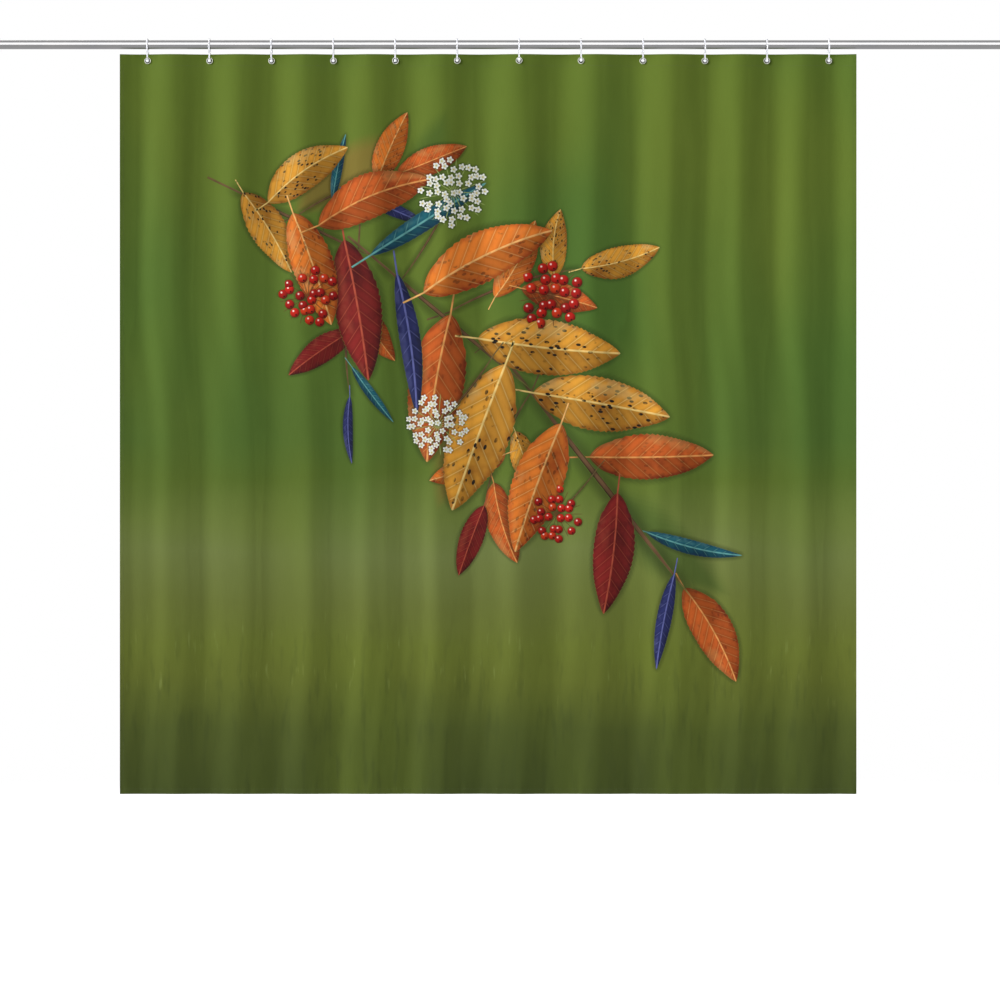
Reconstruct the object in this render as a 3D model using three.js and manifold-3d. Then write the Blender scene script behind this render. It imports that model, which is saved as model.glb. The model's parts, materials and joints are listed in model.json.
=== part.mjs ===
// Shower curtain hung from a straight rod by ring hooks through eyelets, with a flange at each
// end of the rod. Millimetres, +Z up: the rod runs along +X and the curtain's printed side faces -Y.
// The origin is the middle of the left flange's wall face, on the rod's axis.

import * as THREE from 'three';
import { mergeVertices } from 'three/addons/utils/BufferGeometryUtils.js';
import Module from 'manifold-3d';

const wasm = await Module();
wasm.setup();

// Clearance between pieces that touch.
const GAP = 0.3;

// Rod: a plain steel tube between two walls.
const WALL_TO_WALL = 2500;
const ROD_RADIUS = 11;
const ROD_WALL = 1;
const ROD_SIDES = 36;

// Wall flanges: a round plate with a socket for the rod, and two countersunk screws.
const PLATE_RADIUS = 27;
const PLATE_THICKNESS = 4;
const PLATE_CHAMFER = 1.2;
const SOCKET_OUTER_RADIUS = 14.5;
const SOCKET_LENGTH = 24;
const SOCKET_FILLET = 1.5;
const FLANGE_SIDES = 32;
const SCREW_OFFSET = 20.75;
const SCREW_HOLE_RADIUS = 2.4;
const SCREW_SINK_RADIUS = 4.6;
const SCREW_SINK_START = 1.4;
const SCREW_SIDES = 16;

// Curtain: a square sheet, a little narrower once its shallow folds take up cloth.
const HUNG_WIDTH = 1788;
const HUNG_HEIGHT = 1796;
const CURTAIN_LEFT = 327;
const CURTAIN_TOP = -23.2;
const CLOTH_THICKNESS = 0.8;
const HEM_THICKNESS = 1.6;
const TOP_HEM = 30;
const BOTTOM_HEM = 14;
const SIDE_HEM = 10;
const HEM_OVERLAP = 4;

// Folds: the widths from left to right. The first starts to the left of the sheet, and each one
// is as steep as the next, so a wide fold is a deep one.
const FIRST_FOLD = -142;
const FOLD_WIDTHS = [155, 155, 165, 158, 163, 172, 197, 177, 192, 159, 149, 125];
const FOLD_SLOPE = 0.17;
const FOLD_COLUMNS = 10;
const LEAST_COLUMN = 2;

// Eyelets: pressed metal rings in the top hem, evenly spaced between the two end ones.
const EYELETS = 12;
const EYELET_INSET = 67;
const EYELET_HOLE_RADIUS = 3.5;
const EYELET_BARREL_RADIUS = 5.8;
const EYELET_RADIUS = 8;
const EYELET_DEPTH = 2.3;
const EYELET_FLANGE_START = 1.5;
const EYELET_SIDES = 16;

// Hooks: a closed ring of round wire that hangs on the rod, runs through the eyelet and snaps
// into a ball in front of it.
const WIRE_RADIUS = 2;
const WIRE_SIDES = 8;
const WIRE_STEPS = 30;
const HOOK_TOP_BEND = 17;
const HOOK_BACK_BEND = 9;
const HOOK_BACK_LEAN = THREE.MathUtils.degToRad(10);
const HOOK_BOTTOM = -37.8;
const BALL_RADIUS = 4.25;
const BALL_FORWARD = 8;
const BALL_SIDES = 12;
const EYELET_HANG = 0.6;

const material = (color, roughness, metalness) =>
  new THREE.MeshStandardMaterial({ color, roughness, metalness });

const STEEL = material(0x8e8c8d, 0.22, 1);
const SCREW_STEEL = material(0xa4a3a2, 0.35, 1);
const EYELET_METAL = material(0xcfcfcb, 0.25, 1);
const HOOK_PLASTIC = material(0xe9e9ee, 0.3, 0);
const CLOTH = material(0x59752f, 0.85, 0);

// A closed geometry as a solid that can be joined and cut, and back again.
function solidOf(geometry) {
  const bare = geometry.clone();
  bare.deleteAttribute('normal');
  bare.deleteAttribute('uv');
  const merged = mergeVertices(bare);
  return new wasm.Manifold(new wasm.Mesh({
    numProp: 3,
    vertProperties: new Float32Array(merged.attributes.position.array),
    triVerts: new Uint32Array(merged.index.array),
  }));
}

function geometryOf(solid) {
  const { vertProperties, triVerts } = solid.getMesh();
  const geometry = new THREE.BufferGeometry();
  geometry.setAttribute('position', new THREE.BufferAttribute(vertProperties, 3));
  geometry.setIndex(new THREE.BufferAttribute(triVerts, 1));
  geometry.computeVertexNormals();
  return geometry;
}

function named(name, geometry, finish) {
  const mesh = new THREE.Mesh(geometry, finish);
  mesh.name = name;
  return mesh;
}

// A turned piece: its profile is given as radius and height pairs round the Y axis.
function turned(profile, sides) {
  return new THREE.LatheGeometry(profile.map(([r, y]) => new THREE.Vector2(r, y)), sides);
}

// How far back the cloth lies at a distance across the sheet, and how steeply it turns there.
function foldAt(across) {
  let start = FIRST_FOLD;
  let fold = 0;
  while (fold < FOLD_WIDTHS.length - 1 && across > start + FOLD_WIDTHS[fold]) {
    start += FOLD_WIDTHS[fold];
    fold += 1;
  }
  const width = FOLD_WIDTHS[fold];
  const turn = (2 * Math.PI * (across - start)) / width;
  return {
    back: (FOLD_SLOPE * width * Math.sin(turn)) / (2 * Math.PI),
    slope: FOLD_SLOPE * Math.cos(turn),
  };
}

// Distances across the sheet where its faceted section bends, evenly spaced within each fold.
function bendsBetween(left, right) {
  const inner = [];
  let start = FIRST_FOLD;
  for (const width of FOLD_WIDTHS) {
    for (let i = 0; i < FOLD_COLUMNS; i += 1) {
      inner.push(start + (width * i) / FOLD_COLUMNS);
    }
    start += width;
  }
  const clear = (across) => across > left + LEAST_COLUMN && across < right - LEAST_COLUMN;
  return [left, ...inner.filter(clear), right];
}

// A folded strip of cloth, from the left to the right distance across the sheet.
function clothStrip(thickness, left, right, bottom, top) {
  const columns = bendsBetween(left, right).map((across) => {
    const { back, slope } = foldAt(across);
    const normal = new THREE.Vector2(slope, -1).normalize().multiplyScalar(thickness / 2);
    return { middle: new THREE.Vector2(across, back), normal };
  });
  const front = columns.map(({ middle, normal }) => middle.clone().add(normal));
  const rear = columns.map(({ middle, normal }) => middle.clone().sub(normal)).reverse();
  const section = new THREE.Shape([...front, ...rear]);
  const strip = new THREE.ExtrudeGeometry(section, { depth: top - bottom, bevelEnabled: false });
  return solidOf(strip.translate(CURTAIN_LEFT, 0, bottom));
}

function eyeletAcross(index) {
  return EYELET_INSET + (index * (HUNG_WIDTH - 2 * EYELET_INSET)) / (EYELETS - 1);
}

const EYELET_HEIGHT = HOOK_BOTTOM + WIRE_RADIUS + EYELET_HANG - EYELET_HOLE_RADIUS;

// The sheet: a thin panel in a frame of thicker hems, with a hole for each eyelet.
function curtain() {
  const bottom = CURTAIN_TOP - HUNG_HEIGHT;
  const windowWidth = HUNG_WIDTH - 2 * SIDE_HEM;
  const windowHeight = HUNG_HEIGHT - TOP_HEM - BOTTOM_HEM;
  const window = new THREE.BoxGeometry(windowWidth, 100, windowHeight);
  window.translate(CURTAIN_LEFT + HUNG_WIDTH / 2, 0, bottom + BOTTOM_HEM + windowHeight / 2);
  const hems = clothStrip(HEM_THICKNESS, 0, HUNG_WIDTH, bottom, CURTAIN_TOP).subtract(solidOf(window));
  let sheet = hems.add(clothStrip(
    CLOTH_THICKNESS,
    HEM_OVERLAP,
    HUNG_WIDTH - HEM_OVERLAP,
    bottom + HEM_OVERLAP,
    CURTAIN_TOP - HEM_OVERLAP,
  ));
  const holeRadius = EYELET_BARREL_RADIUS + GAP;
  for (let i = 0; i < EYELETS; i += 1) {
    const across = eyeletAcross(i);
    const { back, slope } = foldAt(across);
    const punch = new THREE.CylinderGeometry(holeRadius, holeRadius, 20, EYELET_SIDES);
    punch.rotateZ(Math.atan(slope));
    punch.translate(CURTAIN_LEFT + across, back, EYELET_HEIGHT);
    sheet = sheet.subtract(solidOf(punch));
  }
  return named('curtain', geometryOf(sheet), CLOTH);
}

// A spool-shaped ring: rounded flanges on both faces of the hem, joined by a barrel.
function eyeletGeometry() {
  const edge = EYELET_FLANGE_START + 0.2;
  return turned([
    [EYELET_HOLE_RADIUS, -edge],
    [EYELET_HOLE_RADIUS + 0.8, -EYELET_DEPTH],
    [EYELET_RADIUS - 1, -EYELET_DEPTH],
    [EYELET_RADIUS, -EYELET_FLANGE_START],
    [EYELET_BARREL_RADIUS, -EYELET_FLANGE_START],
    [EYELET_BARREL_RADIUS, EYELET_FLANGE_START],
    [EYELET_RADIUS, EYELET_FLANGE_START],
    [EYELET_RADIUS - 1, EYELET_DEPTH],
    [EYELET_HOLE_RADIUS + 0.8, EYELET_DEPTH],
    [EYELET_HOLE_RADIUS, edge],
    [EYELET_HOLE_RADIUS, -edge],
  ], EYELET_SIDES);
}

// A flat outline stood up in the plane across the rod: its x becomes Y and its y becomes Z.
class AcrossRod extends THREE.Curve {
  constructor(outline) {
    super();
    this.outline = outline;
  }

  getPoint(t, target = new THREE.Vector3()) {
    const { x, y } = this.outline.getPoint(t);
    return target.set(0, x, y);
  }
}

// The wire's centre line: back from the ball through the eyelet, up behind the rod, over it and
// down in front to the ball. Both legs are tangent to the bend over the rod.
function hookLine() {
  const crown = ROD_RADIUS + GAP + WIRE_RADIUS;
  const top = new THREE.Vector2(0, crown - HOOK_TOP_BEND);
  const ball = new THREE.Vector2(-BALL_FORWARD, HOOK_BOTTOM);
  const lean = HOOK_BACK_LEAN;
  const inset = HOOK_TOP_BEND - HOOK_BACK_BEND;
  const cornerHeight = HOOK_BOTTOM + HOOK_BACK_BEND;
  const leg = (top.y - inset * Math.sin(lean) - cornerHeight) / Math.cos(lean);
  const corner = new THREE.Vector2(inset * Math.cos(lean) - leg * Math.sin(lean), cornerHeight);
  const toTop = top.clone().sub(ball);
  const frontLeg = toTop.angle() + Math.asin(HOOK_TOP_BEND / toTop.length());
  const line = new THREE.Path();
  line.moveTo(ball.x, ball.y);
  line.lineTo(corner.x, HOOK_BOTTOM);
  line.absarc(corner.x, corner.y, HOOK_BACK_BEND, -Math.PI / 2, -lean);
  line.absarc(top.x, top.y, HOOK_TOP_BEND, -lean, frontLeg + Math.PI / 2);
  line.lineTo(ball.x, ball.y);
  return new AcrossRod(line);
}

function hookGeometry() {
  const corners = [];
  for (let i = 0; i < WIRE_SIDES; i += 1) {
    const angle = (2 * Math.PI * i) / WIRE_SIDES;
    corners.push(new THREE.Vector2(Math.cos(angle), Math.sin(angle)).multiplyScalar(WIRE_RADIUS));
  }
  const wire = new THREE.ExtrudeGeometry(new THREE.Shape(corners), {
    extrudePath: hookLine(),
    steps: WIRE_STEPS,
    bevelEnabled: false,
  });
  const ball = new THREE.SphereGeometry(BALL_RADIUS, BALL_SIDES, BALL_SIDES / 2);
  ball.translate(0, -BALL_FORWARD, HOOK_BOTTOM);
  return geometryOf(solidOf(wire).add(solidOf(ball)));
}

// Each hook swings on the rod until it stands over its eyelet, which lies flat on the cloth.
function hooksAndEyelets() {
  const pieces = [];
  const hook = hookGeometry();
  const eyelet = eyeletGeometry();
  for (let i = 0; i < EYELETS; i += 1) {
    const across = eyeletAcross(i);
    const { back, slope } = foldAt(across);
    const number = String(i + 1).padStart(2, '0');
    const hookMesh = named(`hook_${number}`, hook, HOOK_PLASTIC);
    hookMesh.position.x = CURTAIN_LEFT + across;
    hookMesh.rotation.x = Math.atan(back / -HOOK_BOTTOM);
    const eyeletMesh = named(`eyelet_${number}`, eyelet, EYELET_METAL);
    eyeletMesh.position.set(CURTAIN_LEFT + across, back, EYELET_HEIGHT);
    eyeletMesh.rotation.z = Math.atan(slope);
    pieces.push(hookMesh, eyeletMesh);
  }
  return pieces;
}

// The tube's ends stop just short of the bottoms of the sockets.
function rod() {
  const start = PLATE_THICKNESS + GAP;
  const end = WALL_TO_WALL - start;
  const bore = ROD_RADIUS - ROD_WALL;
  const tube = turned(
    [[bore, start], [ROD_RADIUS, start], [ROD_RADIUS, end], [bore, end], [bore, start]],
    ROD_SIDES,
  );
  const mesh = named('rod', tube, STEEL);
  mesh.rotation.z = -Math.PI / 2;
  return mesh;
}

// The flange is turned round Y with its wall face at zero, then drilled above and below.
function flangeGeometry() {
  const socket = ROD_RADIUS + GAP;
  const body = solidOf(turned([
    [0, 0],
    [PLATE_RADIUS, 0],
    [PLATE_RADIUS, PLATE_THICKNESS - PLATE_CHAMFER],
    [PLATE_RADIUS - PLATE_CHAMFER, PLATE_THICKNESS],
    [SOCKET_OUTER_RADIUS + SOCKET_FILLET, PLATE_THICKNESS],
    [SOCKET_OUTER_RADIUS, PLATE_THICKNESS + SOCKET_FILLET],
    [SOCKET_OUTER_RADIUS, SOCKET_LENGTH - 1],
    [SOCKET_OUTER_RADIUS - 1, SOCKET_LENGTH],
    [socket, SOCKET_LENGTH],
    [socket, PLATE_THICKNESS],
    [0, PLATE_THICKNESS],
  ], FLANGE_SIDES));
  const drill = turned([
    [0, -1],
    [SCREW_HOLE_RADIUS, -1],
    [SCREW_HOLE_RADIUS, SCREW_SINK_START],
    [SCREW_SINK_RADIUS, PLATE_THICKNESS],
    [SCREW_SINK_RADIUS, PLATE_THICKNESS + 1],
    [0, PLATE_THICKNESS + 1],
  ], SCREW_SIDES);
  const upper = solidOf(drill.clone().translate(0, 0, SCREW_OFFSET));
  const lower = solidOf(drill.clone().translate(0, 0, -SCREW_OFFSET));
  return geometryOf(body.subtract(upper).subtract(lower));
}

function screwGeometry() {
  return turned([
    [0, GAP],
    [SCREW_HOLE_RADIUS - GAP, GAP],
    [SCREW_HOLE_RADIUS - GAP, SCREW_SINK_START + 0.15],
    [SCREW_SINK_RADIUS - 0.5, PLATE_THICKNESS - 0.1],
    [0, PLATE_THICKNESS - 0.1],
  ], SCREW_SIDES);
}

// A flange with its screws, facing along the rod from the wall it is screwed to.
function wallEnd(side) {
  const end = new THREE.Group();
  const flange = named(`flange_${side}`, flangeGeometry(), STEEL);
  const screw = screwGeometry();
  const upper = named(`screw_${side}_upper`, screw, SCREW_STEEL);
  const lower = named(`screw_${side}_lower`, screw, SCREW_STEEL);
  upper.position.z = SCREW_OFFSET;
  lower.position.z = -SCREW_OFFSET;
  end.add(flange, upper, lower);
  end.rotation.z = side === 'left' ? -Math.PI / 2 : Math.PI / 2;
  end.position.x = side === 'left' ? 0 : WALL_TO_WALL;
  return end;
}

const part = new THREE.Group();
part.add(rod(), wallEnd('left'), wallEnd('right'), curtain(), ...hooksAndEyelets());

export default part;
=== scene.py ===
# %% [markdown]
# # A printed shower curtain on its rod
#
# A square sheet of polyester hangs from a metal rod. Ring hooks of white plastic run over the rod
# and through metal eyelets in the top hem. Each piece gets a cell of its own here, in the order
# that a maker would work: the metal, the plastic, the cloth, its print, its stitches. Then come
# the light and the camera. Lengths are in metres throughout.

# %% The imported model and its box
import json
import math
import random

import bmesh
import bpy
import numpy as np
from bmesh.types import BMEdge, BMFace, BMVert
from mathutils import Matrix, Vector


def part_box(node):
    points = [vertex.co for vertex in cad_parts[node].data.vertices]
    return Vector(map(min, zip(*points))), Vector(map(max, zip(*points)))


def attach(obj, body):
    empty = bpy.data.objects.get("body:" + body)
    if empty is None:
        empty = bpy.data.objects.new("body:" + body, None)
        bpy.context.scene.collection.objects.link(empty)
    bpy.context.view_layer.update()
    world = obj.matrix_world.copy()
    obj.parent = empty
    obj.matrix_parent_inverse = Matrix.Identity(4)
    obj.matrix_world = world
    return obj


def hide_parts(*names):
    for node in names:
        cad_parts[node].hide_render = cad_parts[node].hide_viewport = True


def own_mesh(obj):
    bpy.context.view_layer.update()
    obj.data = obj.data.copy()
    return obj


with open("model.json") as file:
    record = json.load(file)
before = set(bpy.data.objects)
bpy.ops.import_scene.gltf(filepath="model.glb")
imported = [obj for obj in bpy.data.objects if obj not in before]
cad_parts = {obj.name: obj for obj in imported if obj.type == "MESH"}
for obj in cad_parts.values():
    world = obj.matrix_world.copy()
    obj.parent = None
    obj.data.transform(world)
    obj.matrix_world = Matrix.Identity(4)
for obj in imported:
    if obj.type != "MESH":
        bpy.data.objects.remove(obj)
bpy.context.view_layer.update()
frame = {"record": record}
body_of_node = {}
for body, nodes in frame["record"]["behaviour"]["bodies"].items():
    body_of_node.update(dict.fromkeys(nodes, body))

# %% [markdown]
# ## Finishing a mesh
#
# Every piece starts as a bmesh. The same last steps make it an object each time: smooth shading
# broken at the sharp edges, its materials, the body that it moves with and the solid that it
# stands for. Keeping them in one function means that no piece misses one of them.

# %% Turn a bmesh into a finished piece
SHARP = math.radians(35)


def as_mesh(name, bm):
    mesh = bpy.data.meshes.new(name)
    bm.to_mesh(mesh)
    bm.free()
    return mesh


def placed(name, data):
    made = bpy.data.objects.new(name, data)
    bpy.context.collection.objects.link(made)
    return made


def finished(name, bm, materials, node, replaces=True):
    for face in bm.faces:
        face.smooth = True
    for edge in bm.edges:
        edge.smooth = len(edge.link_faces) == 2 and edge.calc_face_angle(0) < SHARP
    piece = placed(name, as_mesh(name, bm))
    for made in materials:
        piece.data.materials.append(made)
    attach(piece, body_of_node[node])
    if replaces:
        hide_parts(node)
    return piece


# %% [markdown]
# ## Writing materials as recipes
#
# A node tree is easier to read as a recipe than as a list of links. Each call of this helper adds
# a node or a few, wires up the inputs and hands back the output. That output can be added,
# multiplied and so on like a number, which adds Math nodes to the tree.

# %% A helper for node trees
def operator(operation):
    return lambda *values: values[0].recipe.math(operation, *values)


class Value:
    """The output of a node. Arithmetic with it adds Math nodes."""

    __add__ = operator("ADD")
    __sub__ = operator("SUBTRACT")
    __mul__ = operator("MULTIPLY")
    __truediv__ = operator("DIVIDE")
    __pow__ = operator("POWER")
    __abs__ = operator("ABSOLUTE")

    def __init__(self, recipe, socket):
        self.recipe = recipe
        self.socket = socket

    def __rsub__(self, other):
        return self.recipe.math("SUBTRACT", other, self)


def paint(code):
    """A colour as it is written for a screen, such as 5a702e, or a grey as a number."""
    if not isinstance(code, str):
        return (code, code, code, 1)
    shares = [int(code[i : i + 2], 16) / 255 for i in (0, 2, 4)]
    return (*[x / 12.92 if x < 0.04045 else ((x + 0.055) / 1.055) ** 2.4 for x in shares], 1)


class Recipe:
    """Adds nodes to a material, a world or a group."""

    def __init__(self, owner):
        self.owner = owner
        self.tree = getattr(owner, "node_tree", owner)

    def put(self, socket, value):
        if isinstance(value, Value):
            self.tree.links.new(value.socket, socket)
        else:
            socket.default_value = paint(value) if isinstance(value, str) else value

    def outputs(self, kind, feeds=(), **settings):
        made = self.tree.nodes.new(kind)
        for name, value in settings.items():
            setattr(made, name, value)
        for key, value in dict(feeds).items():
            self.put(made.inputs[key], value)
        return [Value(self, socket) for socket in made.outputs]

    def node(self, kind, feeds=(), out=0, **settings):
        return self.outputs(kind, feeds, **settings)[out]

    def use(self, tree, *values):
        """Adds a group of nodes. Its only output comes back bare, several as a list."""
        made = self.outputs("ShaderNodeGroup", enumerate(values), node_tree=tree)
        return made if len(made) > 1 else made[0]

    def math(self, operation, *values):
        return self.node("ShaderNodeMath", enumerate(values), operation=operation)

    def vector(self, operation, *values):
        return self.node("ShaderNodeVectorMath", enumerate(values), operation=operation)

    def stretch(self, place, factors):
        return self.vector("MULTIPLY", place, factors)

    def lit(self, colour, light):
        return self.node("ShaderNodeVectorMath", {0: colour, 3: light}, operation="SCALE")

    def parts(self, vector):
        return self.outputs("ShaderNodeSeparateXYZ", {0: vector})

    def length(self, x, y):
        return self.math("SQRT", x * x + y * y)

    def step(self, value, low, high, to_low=0.0, to_high=1.0):
        feeds = enumerate((value, low, high, to_low, to_high))
        return self.node("ShaderNodeMapRange", feeds, interpolation_type="SMOOTHSTEP")

    def mix(self, factor, first, second):
        return self.node("ShaderNodeMix", {0: factor, 6: first, 7: second}, 2, data_type="RGBA")

    def ramp(self, value, stops, interpolation="LINEAR"):
        made = self.tree.nodes.new("ShaderNodeValToRGB")
        made.color_ramp.interpolation = interpolation
        elements = made.color_ramp.elements
        while len(elements) < len(stops):
            elements.new(1)
        for element, (place, colour) in zip(elements, stops):
            element.position = place
            element.color = paint(colour)
        self.put(made.inputs[0], value)
        return Value(self, made.outputs[0])

    def noise(self, place, scale, detail=2.0, roughness=0.5):
        feeds = {"Vector": place, "Scale": scale, "Detail": detail, "Roughness": roughness}
        return self.node("ShaderNodeTexNoise", feeds)

    def bump(self, height, strength, distance, **normal):
        feeds = {"Height": height, "Strength": strength, "Distance": distance, **normal}
        return self.node("ShaderNodeBump", feeds)

    def surface(self, **sockets):
        """Fills inputs of the material's shader and hands back the material."""
        inputs = self.tree.nodes["Principled BSDF"].inputs
        for name, value in sockets.items():
            self.put(inputs[name.replace("_", " ")], value)
        return self.owner


def material(name):
    """The recipe of a new material, and the place of any point on its piece."""
    made = bpy.data.materials.new(name)
    made.use_nodes = True
    r = Recipe(made)
    return r, r.node("ShaderNodeTexCoord", out=3)


# %% [markdown]
# ## The finishes of the metal and the plastic
#
# The rod is a drawn tube with a dull polish. Its grain runs along it, so the noise that sets its
# roughness is stretched a hundred times along X, and hooks that slide on its crown have rubbed
# faint tracks there. The flanges are turned, so their grain goes round the axis: their noise reads
# only the distances along the axis and from it. The eyelets are pressed from bright sheet and
# scuffed on a finer scale. Their throat, which an attribute of the mesh marks, is made rough and
# painted near-black: painted shade for the hollow behind the ball. The hooks are moulded from white
# plastic that lets light in, so subsurface scattering carries it round to their shaded side.

# %% Rod, flange, screw, eyelet and hook materials
def rod_metal():
    r, place = material("rod_metal")
    grain = r.noise(r.stretch(place, (30, 3000, 3000)), 1, 3)
    crown = r.step(r.parts(place)[2], 0.006, 0.0105)
    tracks = r.step(r.noise(r.stretch(place, (60, 1500, 900)), 1, 1), 0.5, 0.62)
    rubbed = crown * tracks
    tone = r.ramp(r.noise(place, 9, 3), [(0.3, "8b8b8d"), (0.7, "929191")])
    return r.surface(
        Metallic=1.0,
        Base_Color=r.mix(rubbed, tone, "9d9c9a"),
        Roughness=grain * 0.08 + rubbed * 0.12 + 0.12,
        Normal=r.bump(grain, 0.05, 0.00003),
    )


def flange_metal():
    r, place = material("flange_metal")
    along, back, up = r.parts(place)
    on_lathe = r.node("ShaderNodeCombineXYZ", {0: along, 1: r.length(back, up)})
    rings = r.noise(on_lathe, 2600, 3)
    return r.surface(
        Metallic=1.0,
        Base_Color=r.ramp(r.noise(place, 60, 3), [(0.3, "8b8b8d"), (0.7, "949393")]),
        Roughness=rings * 0.1 + 0.12,
        Normal=r.bump(rings, 0.05, 0.00002),
    )


def eyelet_metal():
    r, place = material("eyelet_metal")
    scuff = r.noise(place, 1400, 4, 0.7)
    tone = r.ramp(scuff, [(0.35, "b9bbb0"), (0.6, "c9cbc0")])
    # The throat is painted near-black and non-metal: painted shade for the hollow behind the ball,
    # not the metal's own colour.
    painted_throat_shade = r.node("ShaderNodeAttribute", out=2, attribute_name="painted_throat_shade")
    return r.surface(
        Metallic=1.0 - painted_throat_shade,
        Base_Color=r.mix(painted_throat_shade, tone, "1c1e17"),
        Roughness=painted_throat_shade * 0.45 + scuff * 0.2 + 0.34,
        Normal=r.bump(scuff, 0.15, 0.00004),
    )


def plain(name, noise, tones, gloss, bump, **more):
    """A material whose tone, roughness and bump all follow one noise."""
    r, place = material(name)
    wear = r.noise(place, *noise)
    return r.surface(
        Base_Color=r.ramp(wear, tones),
        Roughness=wear * gloss[0] + gloss[1],
        Normal=r.bump(wear, *bump),
        **more,
    )


ROD_METAL = rod_metal()
FLANGE_METAL = flange_metal()
EYELET_METAL = eyelet_metal()
SCREW_STEEL = plain(
    "screw_steel",
    noise=(900, 4),
    tones=[(0.35, "a5a3a1"), (0.65, "c2c1bf")],
    gloss=(0.25, 0.22),
    bump=(0.2, 0.00005),
    Metallic=1.0,
)
HOOK_PLASTIC = plain(
    "hook_plastic",
    noise=(350, 3),
    tones=[(0.3, "dcdde6"), (0.7, "e8e8ef")],
    gloss=(0.18, 0.16),
    bump=(0.1, 0.0001),
    IOR=1.49,
    Subsurface_Weight=1.0,
    Subsurface_Radius=(1.0, 0.97, 0.95),
    Subsurface_Scale=0.005,
)
print("finishes:", len(bpy.data.materials), "materials")

# %% [markdown]
# ## The rod
#
# A tube could be a curve with a bevel, but an open circle pulled along its axis is simpler and
# gives clean long faces: make the ring, extrude it once, and let solidify add the wall. Its radius
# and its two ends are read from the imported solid, so that it fits between the sockets.

# %% Pull a ring into a tube
QUARTER = math.pi / 2
TUBE_SIDES = 96
TUBE_WALL = 0.001
rod_low, rod_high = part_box("rod")
ROD_RADIUS = (rod_high.z - rod_low.z) / 2
ROD_LENGTH = rod_high.x - rod_low.x


def rotate(bm, angle, axis):
    bmesh.ops.rotate(bm, verts=bm.verts, matrix=Matrix.Rotation(angle, 3, axis))


def move(bm, vec, verts=None):
    bmesh.ops.translate(bm, verts=verts or bm.verts, vec=vec)


def only(kind, items):
    """The vertices, the edges or the faces among the results of an operator."""
    return [item for item in items if isinstance(item, kind)]


def pulled(bm, ring, vec):
    """Extrudes a ring of edges along a vector and hands back the new ring."""
    made = bmesh.ops.extrude_edge_only(bm, edges=ring)["geom"]
    move(bm, vec, only(BMVert, made))
    return only(BMEdge, made)


def rod():
    bm = bmesh.new()
    bmesh.ops.create_circle(bm, segments=TUBE_SIDES, radius=ROD_RADIUS)
    rotate(bm, QUARTER, "Y")
    move(bm, (rod_low.x, 0, 0))
    pulled(bm, bm.edges[:], (ROD_LENGTH, 0, 0))
    bmesh.ops.recalc_face_normals(bm, faces=bm.faces)
    bmesh.ops.solidify(bm, geom=bm.faces[:], thickness=TUBE_WALL)
    finished("rod_tube", bm, [ROD_METAL], "rod")


rod()
print("rod:", round(ROD_LENGTH, 4), "m long,", round(2 * ROD_RADIUS, 4), "m thick")

# %% [markdown]
# ## Turned and drilled pieces
#
# Flanges, screws, eyelets and the hooks' balls are all round, so each is drawn as half a section
# and spun about an axis. A second helper drills: it takes one shape away from another with a
# Boolean modifier, because bmesh has no operator for that job. The modifier is applied to a
# throwaway object, and its result comes back as a bmesh.

# %% Spin a section, and cut one shape with another
def arc(centre, radius, start, end, steps):
    """Points on an arc of a section, with angles in degrees from the outward direction."""
    angles = [math.radians(start + (end - start) * i / steps) for i in range(steps + 1)]
    return [(centre[0] + radius * math.cos(a), centre[1] + radius * math.sin(a)) for a in angles]


def turned(section, steps, closed=False):
    """Radius and height pairs, spun about the Z axis."""
    bm = bmesh.new()
    points = [bm.verts.new((radius, 0, height)) for radius, height in section]
    ends = points[1:] + points[:1] if closed else points[1:]
    chain = [bm.edges.new(pair) for pair in zip(points, ends)]
    turn = {"axis": (0, 0, 1), "cent": (0, 0, 0), "angle": 2 * math.pi}
    bmesh.ops.spin(bm, geom=points + chain, steps=steps, use_merge=True, **turn)
    bmesh.ops.remove_doubles(bm, verts=bm.verts, dist=1e-7)
    bmesh.ops.recalc_face_normals(bm, faces=bm.faces)
    return bm


def applied(bm, kind, **settings):
    """The shape that one modifier makes of a bmesh, which is used up."""
    holder = placed("working", as_mesh("working", bm))
    modifier = holder.modifiers.new("working", kind)
    for name, value in settings.items():
        setattr(modifier, name, value)
    result = bmesh.new()
    result.from_object(holder, bpy.context.evaluated_depsgraph_get())
    bpy.data.meshes.remove(holder.data)
    return result


def cut(blank, tool):
    """The blank without the tool's shape. Both are used up."""
    cutter = placed("cutter", as_mesh("cutter", tool))
    result = applied(blank, "BOOLEAN", operation="DIFFERENCE", object=cutter)
    bpy.data.meshes.remove(cutter.data)
    return result


# %% [markdown]
# ## Wall flanges and screws
#
# A flange is a round plate with a socket that the rod drops into, screwed to the wall above and
# below. Its plate has a rolled rim and a fillet runs up to the socket. The screws are countersunk
# with a cross recess, so each flange is drilled first with a cone a little wider than the heads.

# %% Turn, drill and place both wall ends
FLANGE_STEPS = 96
SCREW_STEPS = 40
PLATE = 0.004
PLATE_ROUND = 0.0014
SOCKET = 0.0145
SOCKET_ROUND = 0.0011
FILLET = 0.002
BORE = ROD_RADIUS + 0.0003
BORE_ROUND = 0.0005
SCREW_TOP = PLATE - 0.0001
SHANK_HOLE = 0.0024
SHANK = 0.0021
CROSS = (0.0044, 0.0009, 0.004)
CROSS_TURN = 0.3
screw_low, screw_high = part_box("screw_left_upper")
SCREW_HEIGHT = (screw_low.z + screw_high.z) / 2
HEAD = (screw_high.z - screw_low.z) / 2


def facing(bm, side, height=0.0):
    """Stands a piece turned about Z on a wall: left faces +X and right faces -X."""
    left = side == "left"
    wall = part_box(f"flange_{side}")[0 if left else 1].x
    rotate(bm, QUARTER if left else -QUARTER, "Y")
    move(bm, (wall, 0, height))
    return bm


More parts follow.
